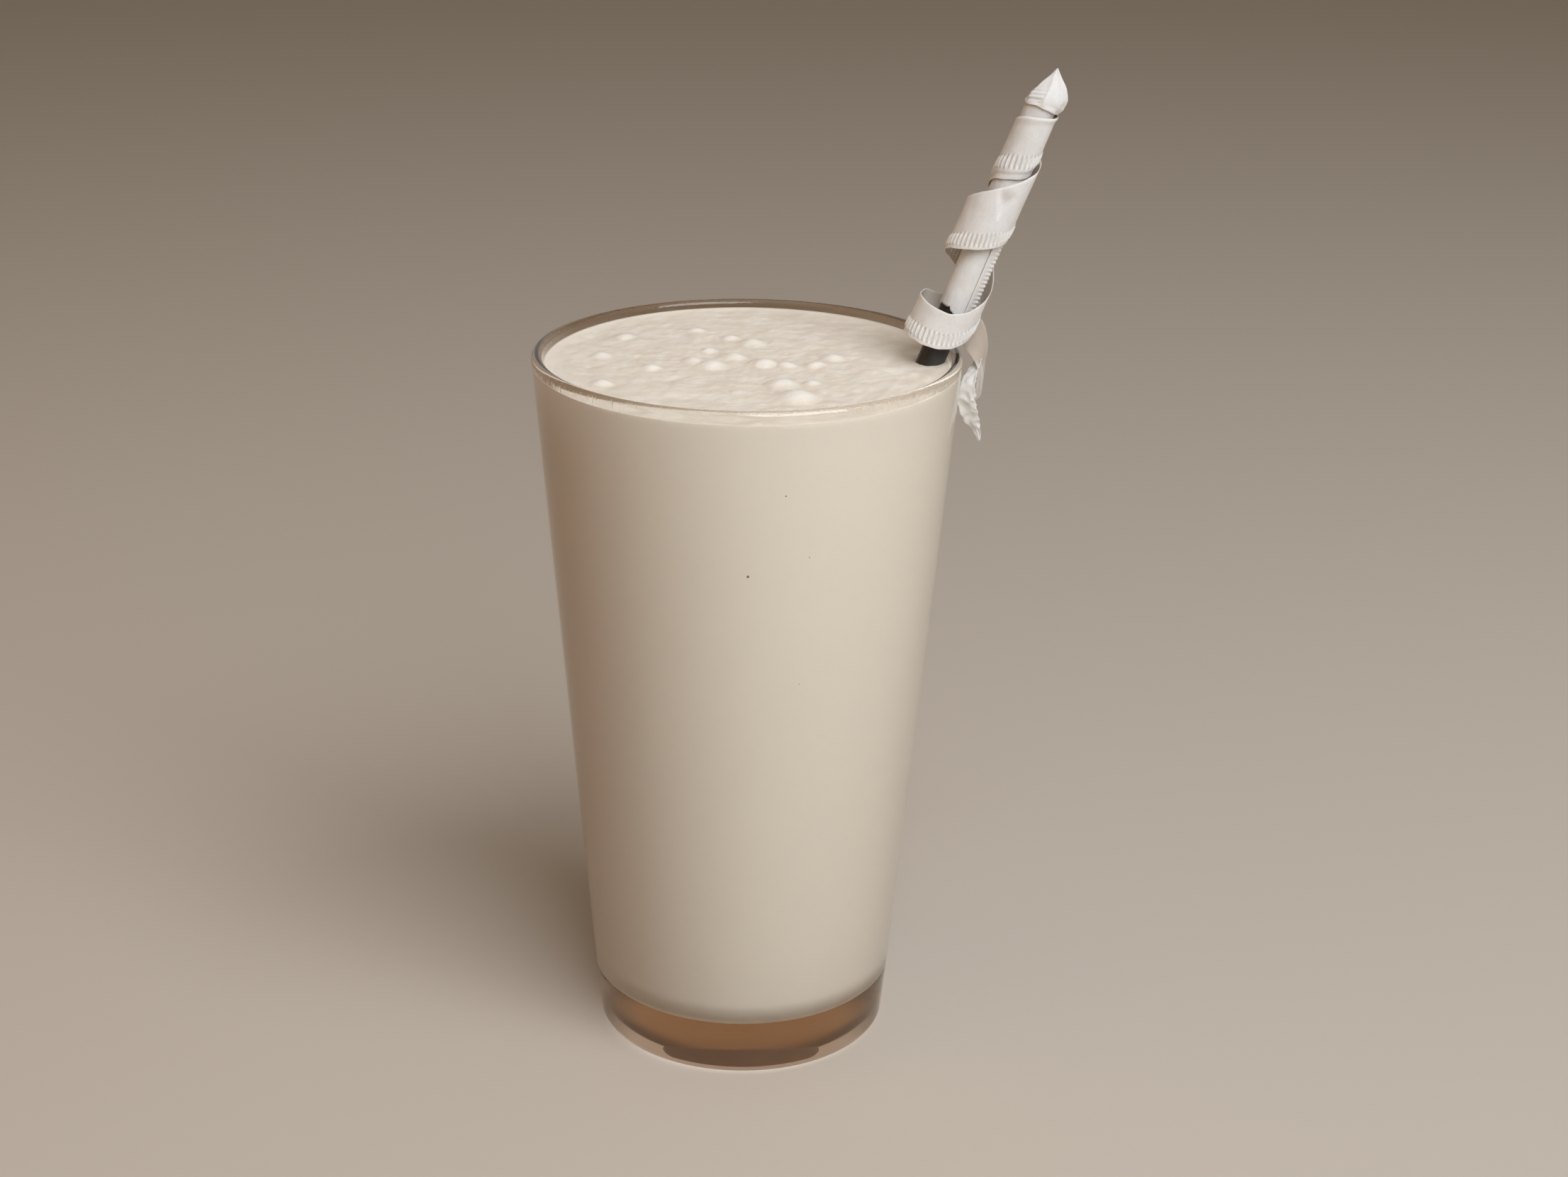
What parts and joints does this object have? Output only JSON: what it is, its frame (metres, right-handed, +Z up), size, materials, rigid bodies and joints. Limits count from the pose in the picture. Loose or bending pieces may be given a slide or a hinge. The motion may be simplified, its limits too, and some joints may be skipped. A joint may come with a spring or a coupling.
{
  "type": "egg cream",
  "caption": "Tall conical glass of pale frothy milk and chocolate soda, filled to just under the rim, with a black straw leaning in it under a torn, coiled paper wrapper.",
  "frame": {"origin": "middle of the flat underside of the glass", "axes": "+Z up the glass, -Y towards the viewer of the picture, +X to the viewer's right, where the straw leans"},
  "size_m": [0.1083, 0.0888, 0.21],
  "materials": {
    "glass": "clear, polished",
    "drink": "milky liquid under fine froth",
    "straw": "smooth black",
    "paper": "thin uncoated paper"
  },
  "bodies": {
    "root": {"glass": "glass", "drink": "drink", "straw": "straw", "paper_sleeve": "paper", "paper_ribbon": "paper"}
  },
  "joints": []
}
